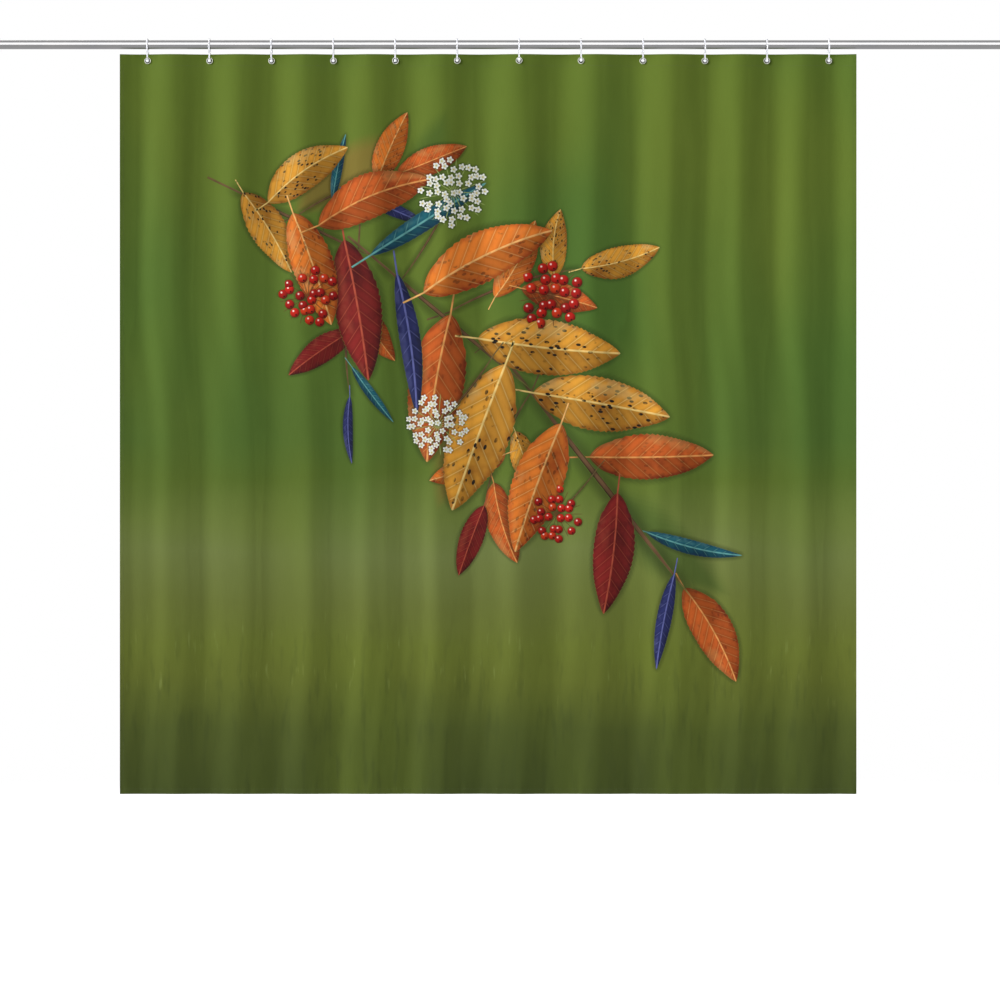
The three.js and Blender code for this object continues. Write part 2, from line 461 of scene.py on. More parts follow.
def flange(side):
    low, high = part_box(f"flange_{side}")
    radius = (high.z - low.z) / 2
    reach = high.x - low.x
    section = [(0, 0), (radius, 0)]
    section += arc((radius - PLATE_ROUND, PLATE - PLATE_ROUND), PLATE_ROUND, 0, 90, 6)
    section += arc((SOCKET + FILLET, PLATE + FILLET), FILLET, 270, 180, 6)
    section += arc((SOCKET - SOCKET_ROUND, reach - SOCKET_ROUND), SOCKET_ROUND, 0, 90, 5)
    section += arc((BORE + BORE_ROUND, reach - BORE_ROUND), BORE_ROUND, 90, 180, 3)
    body = turned(section + [(BORE, PLATE), (0, PLATE)], FLANGE_STEPS)
    cone = HEAD + 0.0005
    hole = [(0, -0.001), (SHANK_HOLE, -0.001), (SHANK_HOLE, 0.0014)]
    hole += [(cone, PLATE), (cone, PLATE + 0.001), (0, PLATE + 0.001)]
    for height in (SCREW_HEIGHT, -SCREW_HEIGHT):
        drill = turned(hole, SCREW_STEPS)
        move(drill, (height, 0, 0))
        body = cut(body, drill)
    node = f"flange_{side}"
    finished(f"wall_{node}", facing(body, side), [FLANGE_METAL], node)


def screw(side, level, height):
    section = [(0, 0.0003), (SHANK, 0.0003), (SHANK, 0.0015), (HEAD, SCREW_TOP - 0.0003)]
    section += [(HEAD, SCREW_TOP - 0.0001), (HEAD * 0.7, SCREW_TOP), (0, SCREW_TOP)]
    head = turned(section, SCREW_STEPS)
    for angle in (CROSS_TURN, CROSS_TURN + QUARTER):
        blade = bmesh.new()
        bmesh.ops.create_cube(blade, size=1)
        bmesh.ops.scale(blade, verts=blade.verts, vec=CROSS)
        tip = [v for v in blade.verts if v.co.z < 0]
        bmesh.ops.scale(blade, verts=tip, vec=(0.45, 0.7, 1))
        rotate(blade, angle, "Z")
        move(blade, (0, 0, SCREW_TOP + 0.0004))
        head = cut(head, blade)
    node = f"screw_{side}_{level}"
    finished(f"cross_{node}", facing(head, side, height), [SCREW_STEEL], node)


for side in ("left", "right"):
    flange(side)
    screw(side, "upper", SCREW_HEIGHT)
    screw(side, "lower", -SCREW_HEIGHT)
print("flanges:", FLANGE_STEPS, "steps round, screws", round(SCREW_HEIGHT, 5), "m off the axis")

# %% [markdown]
# ## How the sheet folds
#
# Twelve eyelets hold the sheet almost flat, so it falls in shallow upright folds. Each fold has a
# width of its own and they are all equally steep, which makes the wide ones deep. A sine wave per
# fold says how far back the cloth lies. The hooks, the eyelets, the cloth and its stitches all
# ask the same function, and so they meet.

# %% The fold under any point of the sheet
sheet_low, sheet_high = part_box("curtain")
SHEET_LEFT = sheet_low.x
SHEET_TOP = sheet_high.z
SHEET_WIDTH = sheet_high.x - sheet_low.x
SHEET_HEIGHT = sheet_high.z - sheet_low.z

FIRST_FOLD = -0.142
FOLD_WIDTHS = np.array([155, 155, 165, 158, 163, 172, 197, 177, 192, 159, 149, 125]) / 1000
FOLD_STARTS = FIRST_FOLD + np.concatenate([[0], np.cumsum(FOLD_WIDTHS)[:-1]])
FOLD_SLOPE = 0.17


def fold_at(across):
    """How far back the cloth lies at a distance across the sheet, and its slope there."""
    fold = np.clip(np.searchsorted(FOLD_STARTS, across) - 1, 0, len(FOLD_WIDTHS) - 1)
    turn = 2 * np.pi * (across - FOLD_STARTS[fold]) / FOLD_WIDTHS[fold]
    return FOLD_SLOPE * FOLD_WIDTHS[fold] * np.sin(turn) / (2 * np.pi), FOLD_SLOPE * np.cos(turn)


NUMBERS = [f"{i:02d}" for i in range(1, 13)]
EYELET_BOXES = [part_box(f"eyelet_{number}") for number in NUMBERS]
EYELET_X = [(low.x + high.x) / 2 for low, high in EYELET_BOXES]
EYELET_HEIGHT = sum(corner.z for corner in EYELET_BOXES[-1]) / 2
EYELET_ACROSS = np.array(EYELET_X) - SHEET_LEFT
EYELET_BACK, EYELET_SLOPE = fold_at(EYELET_ACROSS)
print("eyelets", round(float(np.diff(EYELET_ACROSS).mean()), 4), "m apart")

# %% [markdown]
# ## Eyelets
#
# An eyelet is two pressed rings. The front one has a rolled bead round a sunk throat. The back
# one is a flat washer, and the front ring's neck is curled over it. Both are one section here,
# drawn with arcs and spun, because the line between them is too fine to part. The slot between
# them holds the cloth.

# %% Spin twelve eyelets and lay them on the cloth
HOLE = 0.0035
LIP = 0.0062
NECK = 0.0065
RIM = 0.008
BEAD = 0.0009
THROAT = -0.0015
WASHER = 0.0011
CURL = 0.001
HEM_FACE = 0.0006
SLOT = HEM_FACE + 0.0001


def eyelet_shape():
    section = [(HOLE, THROAT), (LIP - 0.0002, THROAT)]
    section += arc((RIM - BEAD, -0.0014), BEAD, 180, 350, 12)
    section += [(RIM, -SLOT), (NECK, -SLOT), (NECK, SLOT), (RIM, SLOT)]
    section += [(RIM, WASHER - 0.0002), (RIM - 0.0003, WASHER), (0.0056, WASHER)]
    section += arc((HOLE + CURL, 0.0013), CURL, 0, 180, 10)[1:]
    bm = turned(section, 56, closed=True)
    # Marks the throat, where the eyelet's material paints shade.
    painted_throat_shade = bm.verts.layers.float.new("painted_throat_shade")
    for vert in bm.verts:
        vert[painted_throat_shade] = math.hypot(vert.co.x, vert.co.y) < LIP - 0.0001
    rotate(bm, -QUARTER, "X")
    return bm


eyelets = []
for number, x, back, slope in zip(NUMBERS, EYELET_X, EYELET_BACK, EYELET_SLOPE):
    bm = eyelet_shape()
    rotate(bm, math.atan(slope), "Z")
    move(bm, (x, back, EYELET_HEIGHT))
    node = f"eyelet_{number}"
    eyelets.append(finished(f"pressed_{node}", bm, [EYELET_METAL], node))
print("eyelets:", len(eyelets), "with holes", 2 * HOLE, "m wide")

# %% [markdown]
# ## Hooks
#
# A hook is one moulded wire. It starts at a ball in front of the cloth, runs back through the
# eyelet, up behind the rod, over it and down again to the ball, where a collar holds it shut. The
# wire is a ring of points that is pulled along the straight stretches and spun round the bends,
# so it keeps its thickness and stays square to its path.

# %% Pull and spin a wire round the rod
WIRE = 0.002
WIRE_SIDES = 20
CROWN = ROD_RADIUS + 0.0003 + WIRE
TOP_BEND = 0.017
BACK_BEND = 0.009
LEAN = math.radians(10)
WIRE_LOW = EYELET_HEIGHT + HOLE - 0.0006 - WIRE
BALL = Vector((0, -0.008, WIRE_LOW))
BALL_RADIUS = 0.0046
BALL_SAG = Vector((0, 0, 0.0006))
COLLAR = 0.0026
COLLAR_TOP = 0.0068


def join(bm, other):
    mesh = as_mesh("joining", other)
    bm.from_mesh(mesh)
    bpy.data.meshes.remove(mesh)


def bent(bm, ring, centre, angle, steps):
    turn = {"axis": (1, 0, 0), "cent": centre, "angle": angle}
    return only(BMEdge, bmesh.ops.spin(bm, geom=ring, steps=steps, **turn)["geom_last"])


def hook_shape():
    top = Vector((0, 0, CROWN - TOP_BEND))
    inset = TOP_BEND - BACK_BEND
    rise = (top.z - inset * math.sin(LEAN) - (WIRE_LOW + BACK_BEND)) / math.cos(LEAN)
    corner = Vector((0, inset * math.cos(LEAN) - rise * math.sin(LEAN), WIRE_LOW + BACK_BEND))
    from_ball = top - BALL
    front = math.atan2(from_ball.z, from_ball.y) + math.asin(TOP_BEND / from_ball.length)
    front_leg = Vector((0, -math.cos(front), -math.sin(front)))

    bm = bmesh.new()
    bmesh.ops.create_circle(bm, segments=WIRE_SIDES, radius=WIRE)
    rotate(bm, QUARTER, "X")
    move(bm, BALL)
    ring = pulled(bm, bm.edges[:], Vector((0, corner.y - BALL.y, 0)))
    ring = bent(bm, ring, corner, QUARTER - LEAN, 14)
    ring = pulled(bm, ring, rise * Vector((0, math.sin(LEAN), math.cos(LEAN))))
    ring = bent(bm, ring, top, front + QUARTER + LEAN, 36)
    pulled(bm, ring, front_leg * math.sqrt(from_ball.length ** 2 - TOP_BEND ** 2))
    bmesh.ops.holes_fill(bm, edges=[e for e in bm.edges if e.is_boundary], sides=WIRE_SIDES)
    bmesh.ops.recalc_face_normals(bm, faces=bm.faces)

    section = arc((0, 0), BALL_RADIUS, -90, 52, 16) + [(COLLAR, 0.0042), (COLLAR, 0.0064)]
    ball = turned(section + [(COLLAR - 0.0003, COLLAR_TOP), (0, COLLAR_TOP)], 40)
    upward = Vector((0, 0, 1)).rotation_difference(-front_leg).to_matrix()
    bmesh.ops.rotate(ball, verts=ball.verts, matrix=upward)
    move(ball, BALL - BALL_SAG)
    join(bm, ball)
    return bm


hooks = []
for number, x, back in zip(NUMBERS, EYELET_X, EYELET_BACK):
    bm = hook_shape()
    rotate(bm, math.atan(back / -WIRE_LOW), "X")
    move(bm, (x, 0, 0))
    node = f"hook_{number}"
    hooks.append(finished(f"ring_{node}", bm, [HOOK_PLASTIC], node))
print("hooks:", len(hooks), "of wire", 2 * WIRE, "m thick, low point", round(WIRE_LOW, 4))

# %% [markdown]
# ## The sheet, cut and hemmed flat
#
# Real cloth is cut, hemmed and punched on a table and hung up afterwards, and the mesh is made in
# the same order. On the table, X runs across the sheet, Z up it, and Y is depth, with the
# printed face at the front. A grid is doubled into a thin panel. Then the back of its edges is
# pulled out once more, as a hem is cloth turned over to the back.

# %% Cut a grid, thicken it and punch the holes
COLUMNS = 280
ROWS = 96
PANEL = 0.0004
TOP_HEM = 0.030
BOTTOM_HEM = 0.014
SIDE_HEM = 0.010
PUNCH = 0.0074
HEM_LINES = [
    ((SIDE_HEM, 0, 0), (1, 0, 0)),
    ((SHEET_WIDTH - SIDE_HEM, 0, 0), (1, 0, 0)),
    ((0, 0, -TOP_HEM), (0, 0, 1)),
    ((0, 0, BOTTOM_HEM - SHEET_HEIGHT), (0, 0, 1)),
]


def everything(bm):
    return bm.verts[:] + bm.edges[:] + bm.faces[:]


def flat_sheet():
    bm = bmesh.new()
    bmesh.ops.create_grid(bm, x_segments=COLUMNS, y_segments=ROWS, size=0.5)
    rotate(bm, QUARTER, "X")
    move(bm, (0.5, 0, -0.5))
    bmesh.ops.scale(bm, verts=bm.verts, vec=(SHEET_WIDTH, 1, SHEET_HEIGHT))
    for point, direction in HEM_LINES:
        line = {"plane_co": point, "plane_no": direction}
        bmesh.ops.bisect_plane(bm, geom=everything(bm), dist=1e-6, **line)
    move(bm, (0, -HEM_FACE, 0))
    return bm


def thickened(bm):
    bmesh.ops.recalc_face_normals(bm, faces=bm.faces)
    if bm.faces[0].normal.y > 0:
        bmesh.ops.reverse_faces(bm, faces=bm.faces)
    rear = bmesh.ops.duplicate(bm, geom=everything(bm))["geom"]
    bmesh.ops.reverse_faces(bm, faces=only(BMFace, rear))
    move(bm, (0, PANEL, 0), only(BMVert, rear))
    bmesh.ops.bridge_loops(bm, edges=[edge for edge in bm.edges if edge.is_boundary])
    bm.normal_update()
    return bm


def in_hem(face):
    x, z = face.calc_center_median().xz
    inner = SIDE_HEM < x < SHEET_WIDTH - SIDE_HEM
    return not (inner and BOTTOM_HEM - SHEET_HEIGHT < z < -TOP_HEM)


def hemmed(bm):
    rear = [face for face in bm.faces if face.normal.y > 0.5 and in_hem(face)]
    made = bmesh.ops.extrude_face_region(bm, geom=rear)["geom"]
    move(bm, (0, 2 * HEM_FACE - PANEL, 0), only(BMVert, made))
    bmesh.ops.delete(bm, geom=rear, context="FACES_ONLY")
    return bm


def punches():
    tool = bmesh.new()
    size = {"segments": 40, "radius1": PUNCH, "radius2": PUNCH, "depth": 0.02}
    for across in EYELET_ACROSS:
        place = Matrix.Translation((across, 0, EYELET_HEIGHT - SHEET_TOP))
        stand = Matrix.Rotation(QUARTER, 4, "X")
        bmesh.ops.create_cone(tool, cap_ends=True, matrix=place @ stand, **size)
    return tool


sheet_mesh = cut(hemmed(thickened(flat_sheet())), punches())
print("flat sheet:", len(sheet_mesh.faces), "faces")

# %% [markdown]
# ## Hanging the sheet
#
# A simulation would let the folds settle where they like, and these folds are known. So the flat
# cloth is moved by a rule instead: each point goes back by the depth of its fold, and its own
# thickness is laid along the slope there. The hooks set the folds, so they are deepest near the
# rod and fade to half on the way down. Small ripples, puckers at the hems and flat spots under
# the eyelets are added to the same rule.

# %% A rule that hangs anything made on the table
FADE = 0.5
FADE_FROM = 0.3
FADE_OVER = 1.0
RIPPLE = 0.00035
PUCKER = 0.0004
PUCKERED = 0.05
FLAT_SPOT = 0.010
STEP = 0.0005


def smooth(x):
    x = np.clip(x, 0, 1)
    return x * x * (3 - 2 * x)


def depth_at(across, down):
    """How far back the middle of the cloth lies at a place on the sheet."""
    settled = smooth((down - 0.05) / 0.35)
    sway = 0.006 * settled * np.sin(2.1 * down + 5.0 * across)
    swell = 1 + 0.10 * settled * np.sin(3.3 * down + 2.7 * across + 1.0)
    calm = 1 - FADE * smooth((down - FADE_FROM) / FADE_OVER)
    back = fold_at(across + sway)[0] * swell * calm
    wander = across + 0.02 * np.sin(4.1 * down) + 0.007 * np.sin(11.0 * down + 1.3)
    ripple = np.sin(97 * wander + 2.0 * np.sin(9.0 * across))
    ripple += 0.7 * np.sin(61 * wander - 3.1 * down)
    back += RIPPLE * smooth((down - 0.06) / 0.2) * ripple
    foot = smooth(1 - (SHEET_HEIGHT - down) / PUCKERED)
    head = smooth(1 - down / PUCKERED) * 0.5
    seam = np.sin(230 * across + 3 * np.sin(17 * across)) * np.sin(43 * across + 0.7)
    back += PUCKER * (foot + head) * seam
    for centre, depth, slope in zip(EYELET_ACROSS, EYELET_BACK, EYELET_SLOPE):
        distance = np.hypot(across - centre, down - (SHEET_TOP - EYELET_HEIGHT))
        held = smooth(1 - (distance - FLAT_SPOT) / 0.012)
        back += held * (depth + slope * (across - centre) - back)
    return back


def hung(piece):
    """Moves a piece from the table to the rod."""
    table = np.empty(3 * len(piece.data.vertices), np.float32)
    piece.data.vertices.foreach_get("co", table)
    across, offset, height = table.reshape(-1, 3).astype(float).T
    down = -height
    slope = (depth_at(across + STEP, down) - depth_at(across - STEP, down)) / (2 * STEP)
    fall = (depth_at(across, down + STEP) - depth_at(across, down - STEP)) / (2 * STEP)
    share = offset / np.sqrt(1 + slope ** 2 + fall ** 2)
    x = SHEET_LEFT + across - share * slope
    z = SHEET_TOP + height + share * fall
    places = np.stack([x, depth_at(across, down) + share, z], axis=1)
    piece.data.vertices.foreach_set("co", places.astype(np.float32).ravel())
    piece.data.update()
    return piece


# %% [markdown]
# ## The printed ground
#
# The print is a spray of autumn leaves over a meadow that is out of focus. The meadow is one ramp
# of greens from the top of the sheet to its foot, with broad patches of noise over it. A
# decorator turns each function that adds such nodes into a group, so that both sides of the
# cloth and every leaf can share it.

# %% Groups of nodes, and the meadow
SOCKETS = {"Table": "Vector", "Place": "Vector", "Top": "Vector", "Under": "Color", "Ink": "Color"}
# how far down the sheet, and the colour there
MEADOW_TONES = [
    (0.00, "5f7328"),
    (0.10, "5f7228"),
    (0.16, "5e7128"),
    (0.26, "596f29"),
    (0.40, "536c29"),
    (0.52, "50692a"),
    (0.57, "576b29"),
    (0.63, "6b7a3b"),
    (0.67, "717d44"),
    (0.74, "697336"),
    (0.80, "67722d"),
    (0.84, "626c2a"),
    (0.91, "4c5724"),
    (1.00, "3f4a1f"),
]


def group(inputs, outputs):
    """Makes a group with these inputs and outputs of the function that follows."""

    def filled(add_nodes):
        tree = bpy.data.node_groups.new(add_nodes.__name__, "ShaderNodeTree")
        for labels, way in ((inputs, "INPUT"), (outputs, "OUTPUT")):
            for label in labels.split():
                kind = f"NodeSocket{SOCKETS.get(label, 'Float')}"
                tree.interface.new_socket(label, in_out=way, socket_type=kind)
        r = Recipe(tree)
        results = add_nodes(r, *r.outputs("NodeGroupInput")[: len(inputs.split())])
        wanted = tree.nodes.new("NodeGroupOutput").inputs
        for socket, value in zip(wanted, results if isinstance(results, tuple) else [results]):
            r.put(socket, value)
        return tree

    return filled


@group("Table", "Ink")
def meadow_print(r, table):
    height = r.parts(table)[1]
    drift = r.noise(r.stretch(table, (1.6, 3.0, 1)), 1, 3)
    down = height * (-1 / SHEET_HEIGHT) + drift * 0.07 + 0.965
    ink = r.ramp(down, MEADOW_TONES)
    warm = r.noise(r.stretch(table, (2.6, 1.2, 1)), 1, 2)
    ink = r.mix(r.step(warm, 0.42, 0.72, 0, 0.45), ink, "6a7a2c")
    cool = r.noise(r.stretch(table, (1.5, 0.9, 1)), 1.3, 1)
    deep = r.step(cool, 0.48, 0.7, 0, 0.6) * r.step(down, 0.75, 0.45)
    ink = r.mix(deep, ink, "3f6328")
    blades = r.noise(r.stretch(table, (60, 9, 1)), 1, 3)
    low = r.step(height, 0.55, 0.15, 0, 0.35)
    ink = r.mix(low * r.step(blades, 0.5, 0.7), ink, "3c4620")
    wisps = r.noise(r.stretch(table, (85, 12, 1)), 1, 2)
    band = r.step(height, 0.18, 0.28) * r.step(height, 0.48, 0.36)
    return r.mix(band * r.step(wisps, 0.62, 0.8, 0, 0.38), ink, "929e56")


print("meadow:", len(MEADOW_TONES), "tones,", len(meadow_print.nodes), "nodes")

# %% [markdown]
# ## The printed spray: one recipe for every leaf
#
# A branch of autumn leaves with berries and white umbels lies across the meadow. Forty leaves
# drawn by hand would be forty node trees. Instead one recipe draws any leaf from its place on it:
# the share of the way from stalk to tip, the distance from the midrib, and a number whose whole
# part picks a kind from the table and whose fraction varies the shape.

# %% Kinds of leaf and their outline
# name: half width, dark flecks, body, edge, veins
LEAF_KINDS = {
    "copper": (0.19, 0.3, "c05c26", "6e2612", "e8a35c"),
    "gold": (0.20, 1.0, "cf9233", "8d4f1a", "efcf80"),
    "maroon": (0.17, 0.1, "7c2320", "3a1012", "b9563f"),
    "orange": (0.185, 0.5, "d8782c", "9c3c18", "f3bb72"),
    "teal": (0.075, 0.0, "1d5862", "11304a", "69a8a4"),
    "navy": (0.08, 0.0, "2b3060", "15182f", "6a70ad"),
    "blurred bronze": (0.22, 0.0, "8a6c34", "8a6c34", "8a6c34"),
    "blurred green": (0.22, 0.0, "38521f", "38521f", "38521f"),
    "twig": (0.013, 0.0, "4b3320", "2b1c12", "6d5138"),
}
FULL = 2.9
ROUND_FOOT = 0.7
FINE_TIP = 0.85
SHUFFLE = 7.13
MOST_BEND = 0.25


def by_kind(r, code, column):
    """Looks up a column of the table for the kind that a code stands for."""
    stops = [(i / len(LEAF_KINDS), row[column]) for i, row in enumerate(LEAF_KINDS.values())]
    return r.ramp((r.math("FLOOR", code) + 0.5) / len(LEAF_KINDS), stops, "CONSTANT")


@group("Place", "Inside Aside Half")
def leaf_outline(r, place):
    along, aside, code = r.parts(place)
    share = r.math("MINIMUM", r.math("MAXIMUM", along, 0.0), 1.0)
    left = 1.0 - share
    bend = r.math("FRACT", r.math("FRACT", code) * SHUFFLE) * (2 * MOST_BEND) - MOST_BEND
    aside = aside - bend * share * left
    reach = abs(aside)
    wave = r.math("SINE", aside * 40 + code * 90)
    teeth = r.math("FRACT", share * 21 - reach * 30)
    ragged = wave * 0.03 - teeth * 0.05 + 1.0
    half = share ** ROUND_FOOT * left ** FINE_TIP * ragged * by_kind(r, code, 0) * FULL
    on_stalk = r.step(along, -0.17, -0.16) * r.step(along, 0.35, 0.30)
    stalk = on_stalk - 0.9925 - reach
    return r.math("MAXIMUM", half - reach, stalk), aside, half


print("leaves:", len(LEAF_KINDS), "kinds,", len(leaf_outline.nodes), "nodes for the outline")

# %% [markdown]
# ## The leaf on top
#
# Where leaves overlap only the top one is seen, so only that one has to be drawn. A cheap group
# goes through the layers first. It keeps the place on the topmost leaf that covers the point,
# and the deepest of the soft shadows that leaves cast on what lies under them. The costly
# drawing, with its blotches, veins and flecks, then runs once.

# %% Layering, and drawing the one leaf that is seen
@group("Top Shade Place", "Top Shade")
def leaf_over(r, top, shade, place):
    inside = r.use(leaf_outline, place)[0]
    along = r.parts(place)[0]
    covers = r.math("GREATER_THAN", inside, 0.0)
    near = r.step(inside, -0.05, 0.0) * r.step(along, 1.04, 0.97)
    cast = near * r.step(along, -0.05, 0.08, 0.0, 0.45)
    top = r.node("ShaderNodeMix", {0: covers, 4: top, 5: place}, 1, data_type="VECTOR")
    return top, r.math("MAXIMUM", shade, cast) * (1.0 - covers)


@group("Under Place Shade", "Ink")
def leaf_print(r, under, place, shade):
    along, _, code = r.parts(place)
    flecks, body, edge, veins = [by_kind(r, code, column) for column in range(1, 5)]
    inside, aside, half = r.use(leaf_outline, place)
    reach = abs(aside)

    # Blotches and a browned rim.
    blotch = r.noise(place, 5, 3, 0.6)
    browned = r.step(blotch * 2.2 + r.step(inside, 0.05, 0.0, -0.85, -0.40), -0.1, 1.1)
    ink = r.mix(browned, body, edge)

    # Veins, which arch towards the tip, and the midrib.
    spacing = abs(r.math("FRACT", (along - reach * 1.1) * 10) - 0.5)
    side_vein = r.step(spacing, 0.42, 0.49) * r.step(inside, 0.0, 0.03, 0.0, 0.5)
    midrib = r.step(reach, 0.009, 0.004, 0.0, 0.9)
    ink = r.mix(r.math("MAXIMUM", side_vein, midrib), ink, veins)

    # Dark flecks, in patches.
    dots = r.node("ShaderNodeTexVoronoi", {"Vector": r.stretch(place, (17, 30, 1)), "Scale": 1})
    speck = r.step(dots, 0.34, 0.26) * r.step(blotch, 0.42, 0.52)
    ink = r.mix(speck * flecks, ink, "17110c")

    # Painted light: one half turned to it, cushions between the veins, and a glint.
    light = r.step(aside, -0.02, 0.02, 0.66, 1.1) * r.step(spacing, 0.5, 0.1, 0.86, 1.1)
    glint = r.step(aside / half, 0.2, 0.55) * r.step(blotch, 0.45, 0.62)
    ink = r.mix(glint * 0.3, r.lit(ink, light), veins)

    ink = r.mix(r.step(inside, 0.0, 0.003), under, ink)
    return r.mix(shade, ink, "10150a")


@group("Under Place", "Ink")
def blurred_leaf_print(r, under, place):
    body = by_kind(r, r.parts(place)[2], 2)
    return r.mix(r.step(r.use(leaf_outline, place)[0], 0.0, 0.14, 0.0, 0.62), under, body)


print("leaf on top:", len(leaf_over.nodes), "nodes to find it,", len(leaf_print.nodes), "to draw it")

# %% [markdown]
# ## Berries and umbels
#
# A cluster is a crowd of equal round things, and that is what Voronoi cells are good for: each
# cell's centre becomes one berry or one small flower, if it lies within the cluster. The place
# in the cell, measured from its centre, shades the berry as a ball or cuts the flower's petals.
# Thin stalks run out from the middle of the cluster underneath, so that nothing floats.

# %% The group that draws both kinds of cluster
BERRY_RADIUS = 0.46
CLUSTER_CELLS = 3.3
STALKS = 17
PETALS = 5


@group("Under Place", "Ink")
def cluster_print(r, under, place):
    along, aside, code = r.parts(place)
    flower = r.math("FLOOR", code)
    centred = r.node("ShaderNodeCombineXYZ", {0: along, 1: aside})
    offset = r.math("FRACT", code) * 40
    cells = flower * 1.7 + CLUSTER_CELLS
    feeds = {"Vector": r.vector("ADD", centred, offset), "Scale": cells, "Randomness": 0.75}
    _, chance, middle = r.outputs("ShaderNodeTexVoronoi", feeds, voronoi_dimensions="2D")[:3]
    home = r.vector("SUBTRACT", middle, offset)
    belongs = r.math("LESS_THAN", r.length(*r.parts(home)[:2]), 0.82)
    apart = r.parts(r.vector("SUBTRACT", centred, home))[:2]
    x, y = [part * (cells / BERRY_RADIUS) for part in apart]
    from_middle = r.length(x, y)

    # A berry is a red ball with a glint and a dark crown.
    ball = r.math("SQRT", r.math("MAXIMUM", 1.0 - from_middle * from_middle, 0.0))
    light = ball * 0.75 + y * 0.45 - x * 0.35
    red = r.ramp(chance, [(0.2, "8c1512"), (0.7, "b82016"), (0.95, "c9481c")])
    berry = r.lit(red, r.step(light, -0.2, 1.0, 0.18, 1.25))
    berry = r.mix(r.step(r.length(x + 0.32, y - 0.38), 0.28, 0.06), berry, "ffe9df")
    berry = r.mix(r.step(r.length(x - 0.25, y + 0.42), 0.22, 0.12), berry, "1d0b08")

    # A flower is white with a yellow middle, and its edge is scalloped into petals.
    scallop = r.math("COSINE", r.math("ARCTAN2", y, x) * PETALS) * 0.17 + 0.82
    white = r.mix(r.step(from_middle, 0.9, 0.2), "f2f2ec", "c9cdbd")
    white = r.mix(r.step(from_middle, 0.24, 0.16), white, "c7b24a")
    edge = r.node("ShaderNodeMix", {0: flower, 2: 1.0, 3: scallop})

    # Stalks and a soft shadow go underneath.
    out = r.length(along, aside)
    beside = abs(r.math("SINE", r.math("ARCTAN2", aside, along) * (STALKS / 2)))
    stalk = r.step(beside * out, 0.13, 0.05) * r.step(out, 0.86, 0.74, 0.0, 0.85)
    under = r.mix(stalk, under, r.mix(flower, "5d3a22", "93a45f"))
    under = r.mix(belongs * r.step(from_middle, 1.5, 0.8, 0.0, 0.5), under, "141a0c")
    cover = belongs * r.step(from_middle, edge, edge - 0.08)
    return r.mix(cover, under, r.mix(flower, berry, white))


print("clusters:", len(cluster_print.nodes), "nodes for both kinds")

# %% [markdown]
# ## Composing the spray
#
# Each leaf, twig and cluster is placed on the sheet by its foot, its direction and its length.
# The branch is a curve from the upper left to the lower right, and leaves leave it in turn on
# either side. A seeded generator varies them, so that the print is the same in every run.

# %% Where every leaf, twig and cluster lies
CLUSTERS = {"berries": 0, "umbel": 1}
PRINT_LIGHT = np.array([-0.6, 0.8])
BRANCH = np.array([(0.27, 1.47), (0.60, 1.36), (0.98, 1.10), (1.37, 0.50)])
LEAF_ORDER = "copper gold orange maroon gold copper teal orange gold navy".split()
MAIN_LEAVES = 17


def heading(degrees):
    angle = math.radians(degrees)
    return np.array([math.cos(angle), math.sin(angle)])


class Motif:
    """A leaf, twig or cluster: where it lies on the sheet, and the code that its recipe reads."""

    def __init__(self, kind, foot, degrees, length, seed):
        grouped = kind in CLUSTERS
        self.layer = "cluster" if grouped else "blurred" if "blurred" in kind else "leaf"
        self.code = (CLUSTERS[kind] if grouped else list(LEAF_KINDS).index(kind)) + seed
        self.width = 0 if grouped else LEAF_KINDS[kind][0]
        self.bend = (seed * SHUFFLE % 1) * 2 * MOST_BEND - MOST_BEND
        self.foot = np.array(foot)
        self.ahead = heading(degrees) / length
        aside = heading(degrees + 90)
        self.aside = aside * (1 if aside @ PRINT_LIGHT >= 0 else -1) / length


def on_curve(points, share):
    """A place on a smooth curve through four steering points, and its direction in degrees."""
    a, b, c, d = points
    left = 1 - share
    place = a * left ** 3 + 3 * b * left ** 2 * share + 3 * c * left * share ** 2 + d * share ** 3
    ahead = (b - a) * left ** 2 + 2 * (c - b) * left * share + (d - c) * share ** 2
    return place, math.degrees(math.atan2(ahead[1], ahead[0]))


def twigs_along(points, count):
    ends = [on_curve(points, i / count)[0] for i in range(count + 1)]
    for start, end in zip(ends, ends[1:]):
        x, y = end - start
        degrees = math.degrees(math.atan2(y, x))
        yield Motif("twig", start, degrees, math.hypot(x, y) * 1.04, 0.49)


